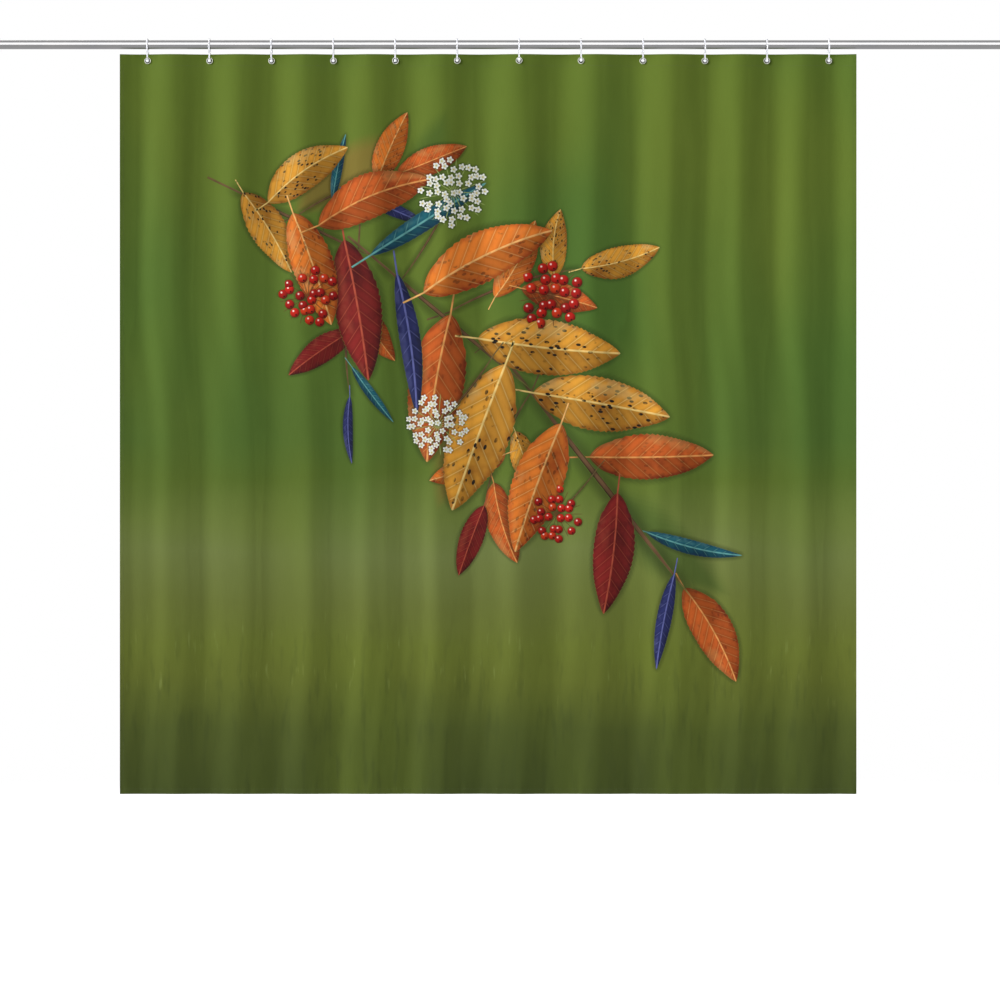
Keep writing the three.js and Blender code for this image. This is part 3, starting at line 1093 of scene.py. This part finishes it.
def spray():
    pick = random.Random(12)
    motifs = []

    def any_seed():
        return pick.random() * 0.99

    def grow(kind, share, turn, length, seed):
        """Adds a motif that leaves the branch. Returns its foot and its direction."""
        foot, ahead = on_curve(BRANCH, share)
        motifs.append(Motif(kind, foot, ahead + turn, length, seed))
        return foot, ahead + turn

    for kind, share, turn, length in (
        ("blurred green", 0.35, 100, 0.42),
        ("blurred bronze", 0.62, -70, 0.40),
        ("blurred bronze", 0.15, 60, 0.34),
        ("blurred green", 0.85, 10, 0.40),
    ):
        grow(kind, share, turn, length, any_seed())

    side_twigs = ((0.30, -62, 0.36), (0.50, 58, 0.34), (0.68, -66, 0.30), (0.16, 48, 0.26))
    feet = [grow("twig", *twig, 0.55) for twig in side_twigs]
    motifs += twigs_along(BRANCH, 3)
    count = 0
    for (foot, degrees), (_, _, length) in zip(feet, side_twigs):
        for share, side in ((0.35, 1), (0.55, -1), (0.8, 1), (1.0, 0)):
            place = foot + heading(degrees) * length * share
            turn = side * pick.uniform(38, 60) + pick.uniform(-8, 8)
            size = pick.uniform(0.16, 0.22)
            kind = LEAF_ORDER[count % len(LEAF_ORDER)]
            motifs.append(Motif(kind, place, degrees + turn, size, any_seed()))
            count += 3

    for i in range(MAIN_LEAVES):
        share = 0.03 + 0.95 * i / (MAIN_LEAVES - 1)
        turn = (1 if i % 2 else -1) * pick.uniform(36, 66)
        size = 0.21 + 0.16 * math.sin(math.pi * share) + pick.uniform(-0.02, 0.02)
        grow(LEAF_ORDER[(i * 3 + 1) % len(LEAF_ORDER)], share, turn, size, any_seed())
    grow("copper", 1.0, -4, 0.26, 0.3)

    for share, turn, reach, size, kind in (
        (0.22, -75, 0.17, 0.085, "berries"),
        (0.58, 80, 0.20, 0.095, "berries"),
        (0.82, -80, 0.15, 0.075, "berries"),
        (0.40, 95, 0.24, 0.10, "umbel"),
        (0.60, -85, 0.22, 0.09, "umbel"),
    ):
        foot, degrees = grow("twig", share, turn, reach, 0.6)
        motifs.append(Motif(kind, foot + reach * heading(degrees), 0, size, any_seed()))
    return motifs


MOTIFS = spray()
print("spray:", len(MOTIFS), "motifs")

# %% [markdown]
# ## Screens
#
# A printer lays colours down one screen at a time, and so does this print. A corner of the mesh
# can carry the place on one leaf only, so leaves that overlap go on different screens. Every
# motif takes the first screen that is still free under it, which keeps the screens few. Each
# screen is one attribute on the corners of the mesh. The clusters come last, over all leaves.

# %% Share the motifs out among screens
LAYERS = ("blurred", "leaf", "cluster")
NOWHERE = (9.0, 9.0, 0.0)


def reaches(motif, corners):
    """Which corners a motif may colour, and every corner's place on it."""
    from_foot = corners - motif.foot
    along, aside = from_foot @ motif.ahead, from_foot @ motif.aside
    places = np.stack([along, aside, np.full(len(along), motif.code)], axis=1)
    if motif.layer == "cluster":
        return np.hypot(along, aside) < 1.1, places
    share = np.clip(along, 0, 1)
    half = motif.width * (FULL + 0.2) * share ** ROUND_FOOT * (1 - share) ** FINE_TIP
    bent = np.abs(aside - motif.bend * share * (1 - share))
    near = (along > -0.18) & (along < 1.05) & (bent < half + 0.055)
    return near, places


def screened(mesh, motifs):
    """Writes the screens to the mesh. Returns each one's name and layer, and the printed faces."""
    corners = np.empty(2 * len(mesh.loops), np.float32)
    mesh.uv_layers["table"].uv.foreach_get("vector", corners)
    corners = corners.reshape(-1, 2)
    starts = np.empty(len(mesh.polygons), np.int32)
    mesh.polygons.foreach_get("loop_start", starts)
    counts = np.diff(np.append(starts, len(corners)))
    printed = np.zeros(len(starts), bool)
    screens = []
    for layer in LAYERS:
        laid = []
        for motif in (motif for motif in motifs if motif.layer == layer):
            near, places = reaches(motif, corners)
            faces = np.maximum.reduceat(near, starts)
            free = [screen for screen in laid if not screen["used"][faces].any()]
            if not free:
                blank = np.tile(np.array(NOWHERE, np.float32), (len(corners), 1))
                free = [{"used": np.zeros(len(starts), bool), "places": blank}]
                laid += free
            chosen = np.repeat(faces, counts)
            free[0]["places"][chosen] = places[chosen]
            free[0]["used"][faces] = True
            printed[faces] = True
        for screen in laid:
            screens.append((f"screen_{len(screens)}", layer))
            attribute = mesh.attributes.new(screens[-1][0], "FLOAT_VECTOR", "CORNER")
            attribute.data.foreach_set("vector", screen["places"].ravel())
    return screens, printed


# %% [markdown]
# ## The two sides of the cloth
#
# Polyester is printed on one side: the dye hardly reaches the back. So both sides run through
# the same screens, and the back shows only a ghost of the ink through the white yarn. The weave
# repeats every 0.6 mm. That is too fine to see from across a room, so it only needs to break up
# the light, and two crossed waves in a bump do that, over a faint slub that runs along the yarns.

# %% Weave, ink and wash
WEAVE = 0.0006


def cloth_side(name, front, screens):
    r, _ = material(name)
    table = r.node("ShaderNodeUVMap", uv_map="table")
    ink = r.use(meadow_print, table)
    places = {layer: [] for layer in LAYERS}
    for screen, layer in screens:
        places[layer].append(r.node("ShaderNodeAttribute", out=1, attribute_name=screen))
    for place in places["blurred"]:
        ink = r.use(blurred_leaf_print, ink, place)
    top, shade = NOWHERE, 0.0
    for place in places["leaf"]:
        top, shade = r.use(leaf_over, top, shade, place)
    if places["leaf"]:
        ink = r.use(leaf_print, ink, top, shade)
    for place in places["cluster"]:
        ink = r.use(cluster_print, ink, place)
    slub = r.noise(r.stretch(table, (900, 25, 1)), 1, 2)
    ink = r.mix(r.step(slub, 0.3, 0.7, 0, 0.05), ink, "000000")
    waves = [r.math("SINE", part * (2 * math.pi / WEAVE)) for part in r.parts(table)[:2]]
    weave = r.bump(waves[0] * waves[1], 0.25, 0.00008)
    return r.surface(
        Base_Color=ink if front else r.mix(0.62, ink, "d8dccb"),
        Roughness=r.noise(table, 14, 3) * 0.2 + 0.62,
        Normal=r.bump(slub, 0.15, 0.00015, Normal=weave),
        Sheen_Weight=0.04,
        Sheen_Roughness=0.4,
        Specular_IOR_Level=0.1,
    )


# %% [markdown]
# ## Printing and hanging the sheet
#
# The place on the table is kept as a UV map, because the picture belongs to the flat cloth.
# Most of the sheet has no leaf on it. There the same cloth goes without the screens, because an
# empty screen costs as much time as a full one. Only then is the sheet hung.

# %% Lay out, print and hang the sheet
def curtain_cloth(bm):
    bm.normal_update()
    table = bm.loops.layers.uv.new("table")
    for face in bm.faces:
        face.material_index = 1 if face.normal.y > 0.5 else 0
        for corner in face.loops:
            corner[table].uv = (corner.vert.co.x, corner.vert.co.z + SHEET_HEIGHT)
    piece = finished("curtain_cloth", bm, [], "curtain")
    screens, printed = screened(piece.data, MOTIFS)
    for kind, shown in (("spray", screens), ("meadow", [])):
        piece.data.materials.append(cloth_side(f"{kind}_face", True, shown))
        piece.data.materials.append(cloth_side(f"{kind}_back", False, shown))
    sides = np.empty(len(printed), np.int32)
    piece.data.polygons.foreach_get("material_index", sides)
    piece.data.polygons.foreach_set("material_index", np.where(printed, sides, sides + 2))
    print("print:", len(screens), "screens on", int(printed.sum()), "of", len(printed), "faces")
    return hung(piece)


curtain = curtain_cloth(sheet_mesh)
depths = [vert.co.y for vert in curtain.data.vertices]
print("cloth: depth", round(min(depths), 4), "to", round(max(depths), 4))

# %% [markdown]
# ## Stitches
#
# Each hem is held by one row of lockstitch in dark green thread. A stitch is a small ball drawn
# out along the seam, so that it sinks into the cloth at both ends. One row is a single stitch
# that an Array modifier repeats along the hem, and the rows are hung by the same rule as the
# sheet.

# %% Sew the four rows on the table and hang them
STITCH = 0.0032
THREAD = 0.00022
SEAM = 0.002
ROW_END = 0.005
SEWING_THREAD = plain(
    "sewing_thread",
    noise=(2500, 2),
    tones=[(0.3, "2c3617"), (0.7, "46542a")],
    gloss=(0.2, 0.5),
    bump=(0.3, 0.0001),
    Sheen_Weight=0.4,
)


def row_of_stitches(start, run, upright=False):
    count = int(run / STITCH)
    half = STITCH * 0.44
    bm = bmesh.new()
    bmesh.ops.create_icosphere(bm, subdivisions=1, radius=1)
    size = (THREAD, THREAD, half) if upright else (half, THREAD, THREAD)
    bmesh.ops.scale(bm, verts=bm.verts, vec=size)
    move(bm, start)
    step = (0, 0, -run / count) if upright else (run / count, 0, 0)
    spacing = {"use_relative_offset": False, "use_constant_offset": True}
    return applied(bm, "ARRAY", count=count, constant_offset_displace=step, **spacing)


def stitches():
    bm = bmesh.new()
    top = -TOP_HEM + SEAM
    foot = BOTTOM_HEM - SHEET_HEIGHT - SEAM
    side = SIDE_HEM - SEAM
    for face in (-HEM_FACE, HEM_FACE):
        for height in (top, foot):
            join(bm, row_of_stitches((ROW_END, face, height), SHEET_WIDTH - 2 * ROW_END))
        for across in (side, SHEET_WIDTH - side):
            start = (across, face, top - 2 * SEAM)
            join(bm, row_of_stitches(start, top - foot - 4 * SEAM, upright=True))
    piece = finished(
        "hem_stitches", bm, [SEWING_THREAD], "curtain", replaces=False
    )
    print("stitches:", len(piece.data.polygons), "faces")
    return hung(piece)


hem_stitches = stitches()

# %% [markdown]
# ## The cloth and its stitches
#
# The hooks slide on the rod and the sheet between them bunches up. Here the cloth and its
# stitches only get a copy of their mesh each, which no other object shares.

# %% Give the cloth and its stitches meshes of their own
for piece in (curtain, hem_stitches):
    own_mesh(piece)

# %% [markdown]
# ## Floor and light
#
# The picture is a plain white studio. The floor is a pale disc two metres under the rod that
# fades into the white surroundings. A low soft sun rakes across the sheet from the left, which
# gives shallow folds their shade, and a weaker one lights the back. The raking sun would burn out
# the small white hooks, lighten the painted shade in the eyelets' throats and draw long shadows.
# So light linking leaves both out of it, and a lamp in front lights the hooks alone. What shines
# sees a bright band in front, from the horizon to half-way up, like a row of soft boxes, and that
# draws the white line on the rod.

# %% The studio
FLOOR_CENTRE = (1.25, 0, -2.0)
FLOOR_RADIUS = 3.2
FILL = 0.17
BAND = 3.0
# name: strength, where it stands, spread in degrees
SUNS = {
    "key_sun": (6.9, (-0.862, -0.285, 0.42), 24),
    "back_sun": (3.0, (-0.5, 0.6, 0.62), 40),
    "front_sun": (3.7, (-0.12, -0.98, -0.10), 14),
}


def studio_floor():
    bm = bmesh.new()
    bmesh.ops.create_circle(bm, cap_ends=True, segments=96, radius=FLOOR_RADIUS)
    move(bm, FLOOR_CENTRE)
    piece = placed("floor", as_mesh("floor", bm))
    r, place = material("pale_floor")
    distance = r.length(*r.parts(r.vector("SUBTRACT", place, FLOOR_CENTRE))[:2])
    pale = r.surface(
        Base_Color=r.ramp(r.noise(place, 40, 3), [(0.3, "cccccb"), (0.7, "d2d2d1")]),
        Alpha=r.step(distance, FLOOR_RADIUS * 0.98, FLOOR_RADIUS * 0.45),
        Roughness=0.8,
        Emission_Strength=0.55,
    )
    piece.data.materials.append(pale)
    piece.visible_diffuse = False
    piece.visible_glossy = False


def white_surroundings():
    world = bpy.data.worlds.new("white_studio")
    world.use_nodes = True
    bpy.context.scene.world = world
    r = Recipe(world)
    _, ahead, height = r.parts(r.node("ShaderNodeTexCoord", out=0))
    band = r.step(height, -0.11, -0.02) * r.step(ahead, -0.60, -0.70)
    seen, _, diffuse = r.outputs("ShaderNodeLightPath")[:3]
    level = r.step(seen, 0, 1, band * BAND + 1.0, 1.0)
    background = world.node_tree.nodes["Background"].inputs
    r.put(background["Color"], "ffffff")
    r.put(background["Strength"], r.step(diffuse, 0, 1, level, FILL))


def soft_sun(name):
    strength, direction, spread = SUNS[name]
    light = bpy.data.lights.new(name, "SUN")
    light.energy = strength
    light.angle = math.radians(spread)
    lamp = placed(name, light)
    lamp.rotation_euler = Vector(direction).to_track_quat("Z", "Y").to_euler()
    return lamp.light_linking


def light_group(name, pieces, state):
    """Pieces that a lamp lights alone, or that it leaves out."""
    chosen = bpy.data.collections.new(name)
    for piece in pieces:
        chosen.objects.link(piece)
    for entry in chosen.collection_objects:
        entry.light_linking.link_state = state
    return chosen


studio_floor()
white_surroundings()
key, back, front = [soft_sun(name) for name in SUNS]
key.receiver_collection = light_group("not_lit", hooks + eyelets, "EXCLUDE")
key.blocker_collection = light_group("no_shadow", hooks, "EXCLUDE")
front.receiver_collection = light_group("hooks_alone", hooks, "INCLUDE")
print("studio: a floor", 2 * FLOOR_RADIUS, "m wide and", len(SUNS), "suns")

# %% [markdown]
# ## The camera
#
# A product picture is taken from far away with a long lens, so that upright lines stay upright.
# The lens follows from the distance and from the width that one pixel of the photo covers.

# %% Aim a long lens at the sheet
PICTURE_CENTRE = Vector((1.2498, 0, -1.1054))
CAMERA_BACK = 9.0
PIXEL = 0.002428
SENSOR = 36
lens = bpy.data.cameras.new("camera")
lens.sensor_width = SENSOR
lens.lens = SENSOR * CAMERA_BACK / (1000 * PIXEL)
lens.clip_end = 60
camera = placed("camera", lens)
camera.location = PICTURE_CENTRE - Vector((0, CAMERA_BACK, 0))
camera.rotation_euler = (QUARTER, 0, 0)
bpy.context.scene.camera = camera
bpy.context.scene.view_settings.view_transform = "Standard"
print("lens", round(lens.lens, 1), "mm at", CAMERA_BACK, "m")
